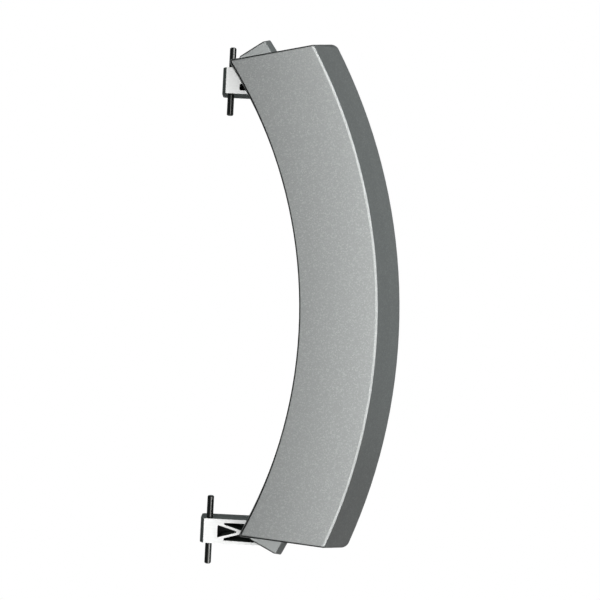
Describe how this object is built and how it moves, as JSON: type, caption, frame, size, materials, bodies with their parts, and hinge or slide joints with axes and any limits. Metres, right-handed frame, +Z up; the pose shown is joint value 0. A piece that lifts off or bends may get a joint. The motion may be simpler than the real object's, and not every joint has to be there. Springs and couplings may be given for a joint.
{
  "type": "washing machine door handle",
  "caption": "Curved silver pull handle for a round front-loading door: hollow crescent cover, rail behind it and a cast frame with two arms on steel hinge pins.",
  "frame": {"origin": "on the hinge line, at the lower arm's lower face", "axes": "+Z up along the hinge line, +X from the hinge line towards the grip, -Y towards the user"},
  "size_m": [0.0852, 0.0295, 0.241],
  "materials": {
    "silver_cover": "ABS with a satin silver metallic paint",
    "grey_rail": "moulded ABS, light silver grey",
    "die_cast": "bright die-cast alloy",
    "pin_steel": "dark polished steel",
    "screw_steel": "zinc plated steel"
  },
  "bodies": {
    "root": {"front_cover": "silver_cover", "grip_shell": "grey_rail", "hinge_frame": "die_cast", "upper_hinge_pin": "pin_steel", "lower_hinge_pin": "pin_steel", "clamp_screw_1": "screw_steel", "clamp_screw_2": "screw_steel", "clamp_screw_3": "screw_steel", "clamp_screw_4": "screw_steel"}
  },
  "joints": []
}
